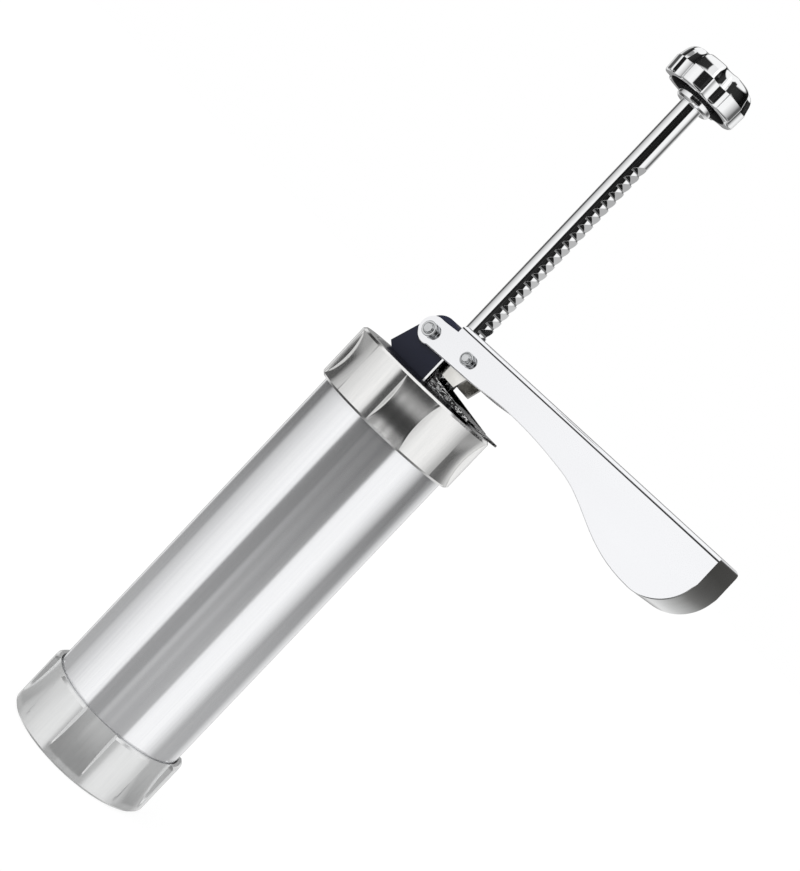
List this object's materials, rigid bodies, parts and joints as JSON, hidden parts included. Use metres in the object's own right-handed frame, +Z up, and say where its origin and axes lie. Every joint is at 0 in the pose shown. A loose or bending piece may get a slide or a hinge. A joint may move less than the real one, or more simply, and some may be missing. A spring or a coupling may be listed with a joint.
{
  "type": "cookie press",
  "caption": "Hand press for churro or biscuit dough: round barrel between screw rings, die disc, and a lever with a pawl that drives a toothed rod and piston.",
  "frame": {"origin": "centre of the opening in the underside of the bottom ring, on which the press stands", "axes": "+Z up the barrel's axis towards the knob, +X along the lever from the rod to its free end, +Y across the lever"},
  "size_m": [0.1633, 0.0626, 0.3447],
  "materials": {
    "brushed_aluminium": "lengthwise brushed aluminium, satin",
    "ring_aluminium": "satin aluminium",
    "disc_aluminium": "rolled aluminium sheet",
    "polished_chrome": "polished chrome plate",
    "pin_steel": "turned steel",
    "spring_steel": "drawn spring wire",
    "block_plastic": "dark blue moulded plastic, semi-gloss",
    "piston_aluminium": "turned aluminium",
    "seal_rubber": "food-grade rubber, matt"
  },
  "bodies": {
    "housing": {"barrel": "brushed_aluminium"},
    "die": {"die_disc": "disc_aluminium"},
    "bottom_cap": {"bottom_ring": "ring_aluminium"},
    "head": {"top_plate": "polished_chrome", "bracket": "polished_chrome", "bracket_rivets": "pin_steel", "guide_block": "block_plastic", "block_screws": "pin_steel", "rod_clip": "spring_steel", "lever_pin": "pin_steel", "lever_pin_rings": "pin_steel", "lever_spring": "spring_steel"},
    "top_cap": {"top_ring": "ring_aluminium"},
    "lever": {"lever": "polished_chrome", "pawl_pin": "pin_steel", "pawl_pin_rings": "pin_steel", "pawl_spring": "spring_steel"},
    "pawl": {"drive_pawl": "polished_chrome"},
    "piston": {"piston": "piston_aluminium", "piston_seal": "seal_rubber"},
    "plunger": {"ratchet_rod": "polished_chrome", "knob": "polished_chrome", "knob_collar": "polished_chrome", "piston_washer": "pin_steel", "piston_nut": "pin_steel"}
  },
  "joints": [
    {"name": "die_drop", "type": "slide", "parent": "housing", "child": "die", "axis": [0, 0, 1], "range_m": [-0.006, 0]},
    {"name": "bottom_ring_turn", "type": "hinge", "parent": "die", "child": "bottom_cap", "pos_m": [0, 0, 0], "axis": [0, 0, 1], "range_deg": [-720, 0]},
    {"name": "head_lift", "type": "slide", "parent": "housing", "child": "head", "axis": [0, 0, 1], "range_m": [0, 0.006]},
    {"name": "top_ring_turn", "type": "hinge", "parent": "head", "child": "top_cap", "pos_m": [0, 0, 0.189], "axis": [0, 0, 1], "range_deg": [0, 720]},
    {"name": "lever_pivot", "type": "hinge", "parent": "head", "child": "lever", "pos_m": [-0.0076, 0, 0.2045], "axis": [0, 1, 0], "range_deg": [0, 12.5], "stiffness_Nm_per_rad": 0.15, "springref_deg": -40.11, "deforming": ["lever_spring"]},
    {"name": "pawl_pivot", "type": "hinge", "parent": "lever", "child": "pawl", "pos_m": [0.0123, 0, 0.206], "axis": [0, 1, 0], "range_deg": [-15, 0], "deforming": ["pawl_spring"]},
    {"name": "rod_slide", "type": "slide", "parent": "head", "child": "piston", "axis": [0, 0, 1], "range_m": [-0.111, 0.056]},
    {"name": "rod_turn", "type": "hinge", "parent": "piston", "child": "plunger", "pos_m": [0, 0, 0.1162], "axis": [0, 0, 1], "continuous": true}
  ],
  "couplings": [
    {"joint": "die_drop", "follows": "bottom_ring_turn", "m_per_rad": 0.00047746},
    {"joint": "head_lift", "follows": "top_ring_turn", "m_per_rad": 0.00047746},
    {"joint": "pawl_pivot", "follows": "lever_pivot", "ratio": -1.16}
  ]
}
